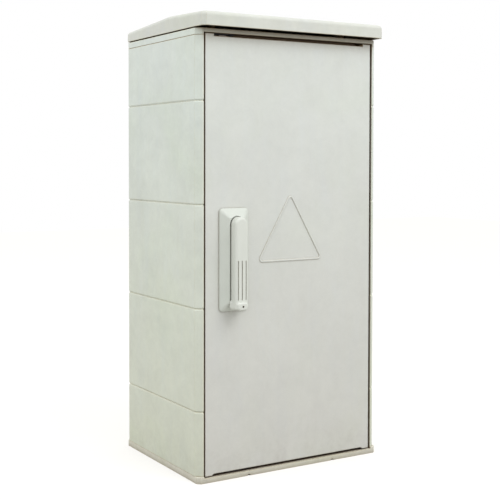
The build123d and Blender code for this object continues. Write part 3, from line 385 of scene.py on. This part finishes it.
def sign_border():
    """A blank triangular border, raised out of the door as part of its moulding."""
    face_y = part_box("door_panel")[0].y
    outline = rounded_triangle(SIGN_SIDE, SIGN_CORNER)
    middle = Vector((0, SIGN_SIDE * math.sqrt(3) / 6))
    # Across the ridge, as a share of its width, and out from the door's face
    section = [(-0.5, -SIGN_SINK), (-0.42, 0.45 * SIGN_RISE), (-0.22, SIGN_RISE), (0.22, SIGN_RISE),
               (0.42, 0.45 * SIGN_RISE), (0.5, -SIGN_SINK)]
    mesh = bmesh.new()
    rings = []
    for index, point in enumerate(outline):
        before = outline[index - 1]
        after = outline[(index + 1) % len(outline)]
        along = (after - before).normalized()
        across = Vector((along.y, -along.x))
        if across.dot(point - middle) < 0:
            across = -across
        ring = []
        for offset, rise in section:
            spot = point + across * offset * SIGN_RIDGE
            ring.append(mesh.verts.new((SIGN_MIDDLE_X + spot.x, face_y - rise, SIGN_BASE_Z + spot.y)))
        rings.append(ring)
    for index, ring in enumerate(rings):
        following = rings[(index + 1) % len(rings)]
        for corner in range(len(section)):
            beyond = (corner + 1) % len(section)
            mesh.faces.new((ring[corner], ring[beyond], following[beyond], following[corner]))
    bmesh.ops.recalc_face_normals(mesh, faces=mesh.faces)
    data = bpy.data.meshes.new("sign_border")
    mesh.to_mesh(data)
    mesh.free()
    data.shade_smooth()
    border = bpy.data.objects.new("sign_border", data)
    bpy.context.collection.objects.link(border)
    return border


def place_camera():
    data = bpy.data.cameras.new("camera")
    data.sensor_width = SENSOR_WIDTH
    data.lens = FOCAL_PIXELS / IMAGE_SIZE * SENSOR_WIDTH
    data.shift_x = (IMAGE_SIZE / 2 - AXIS_COLUMN) / IMAGE_SIZE
    data.shift_y = (AXIS_ROW - IMAGE_SIZE / 2) / IMAGE_SIZE
    camera = bpy.data.objects.new("camera", data)
    turn = Matrix.Rotation(CAMERA_HEADING, 4, "Z")
    tilt = Matrix.Rotation(math.pi / 2 + CAMERA_PITCH, 4, "X")
    roll = Matrix.Rotation(CAMERA_ROLL, 4, "Z")
    camera.matrix_world = Matrix.Translation(CAMERA_PLACE) @ turn @ tilt @ roll
    bpy.context.collection.objects.link(camera)
    bpy.context.scene.camera = camera


def white_to_camera(tree):
    """1 where the camera looks straight, or through a reflection or glass."""
    path = tree.nodes.new("ShaderNodeLightPath")
    first = tree.nodes.new("ShaderNodeMath")
    first.operation = "MAXIMUM"
    tree.links.new(path.outputs["Is Camera Ray"], first.inputs[0])
    tree.links.new(path.outputs["Is Glossy Ray"], first.inputs[1])
    second = tree.nodes.new("ShaderNodeMath")
    second.operation = "MAXIMUM"
    tree.links.new(first.outputs[0], second.inputs[0])
    tree.links.new(path.outputs["Is Transmission Ray"], second.inputs[1])
    return second.outputs[0]


def light_world():
    world = bpy.data.worlds.new("studio")
    world.use_nodes = True
    tree = world.node_tree
    tree.nodes.clear()
    soft = tree.nodes.new("ShaderNodeBackground")
    soft.inputs["Color"].default_value = WORLD_COLOR
    soft.inputs["Strength"].default_value = WORLD_STRENGTH
    seen = tree.nodes.new("ShaderNodeBackground")
    seen.inputs["Color"].default_value = WHITE
    seen.inputs["Strength"].default_value = 1
    mix = tree.nodes.new("ShaderNodeMixShader")
    output = tree.nodes.new("ShaderNodeOutputWorld")
    tree.links.new(white_to_camera(tree), mix.inputs["Fac"])
    tree.links.new(soft.outputs[0], mix.inputs[1])
    tree.links.new(seen.outputs[0], mix.inputs[2])
    tree.links.new(mix.outputs[0], output.inputs["Surface"])
    bpy.context.scene.world = world


def soft_lamp(name, place, size, power, aim):
    data = bpy.data.lights.new(name, "AREA")
    data.shape = "DISK"
    data.size = size
    data.energy = power
    lamp = bpy.data.objects.new(name, data)
    lamp.location = place
    lamp.rotation_euler = (aim - place).to_track_quat("-Z", "Y").to_euler()
    bpy.context.collection.objects.link(lamp)


def lay_floor():
    data = bpy.data.meshes.new("floor")
    half = FLOOR_SIZE / 2
    corners = [(-half, -half, 0), (half, -half, 0), (half, half, 0), (-half, half, 0)]
    data.from_pydata(corners, [], [(0, 1, 2, 3)])
    floor = bpy.data.objects.new("floor", data)
    bpy.context.collection.objects.link(floor)
    material = bpy.data.materials.new("pale_floor")
    material.use_nodes = True
    tree = material.node_tree
    tree.nodes.clear()
    matt = tree.nodes.new("ShaderNodeBsdfDiffuse")
    matt.inputs["Color"].default_value = FLOOR_DIFFUSE
    glow = tree.nodes.new("ShaderNodeEmission")
    glow.inputs["Color"].default_value = WHITE
    share = tree.nodes.new("ShaderNodeMath")
    share.operation = "MULTIPLY"
    share.inputs[1].default_value = FLOOR_SEEN
    tree.links.new(white_to_camera(tree), share.inputs[0])
    tree.links.new(share.outputs[0], glow.inputs["Strength"])
    both = tree.nodes.new("ShaderNodeAddShader")
    output = tree.nodes.new("ShaderNodeOutputMaterial")
    tree.links.new(matt.outputs[0], both.inputs[0])
    tree.links.new(glow.outputs[0], both.inputs[1])
    tree.links.new(both.outputs[0], output.inputs["Surface"])
    data.materials.append(material)


looks = dress_frame()
border = sign_border()
border.data.materials.append(looks["grp_door"])
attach(border, "door")

place_camera()
light_world()
middle = (cad_low + cad_high) / 2
soft_lamp("key", KEY_PLACE, KEY_SIZE, KEY_POWER, middle)
soft_lamp("side", SIDE_PLACE, SIDE_SIZE, SIDE_POWER, middle)
soft_lamp("sky", SKY_PLACE, SKY_SIZE, SKY_POWER, middle)
lay_floor()
bpy.context.scene.view_settings.view_transform = "Standard"
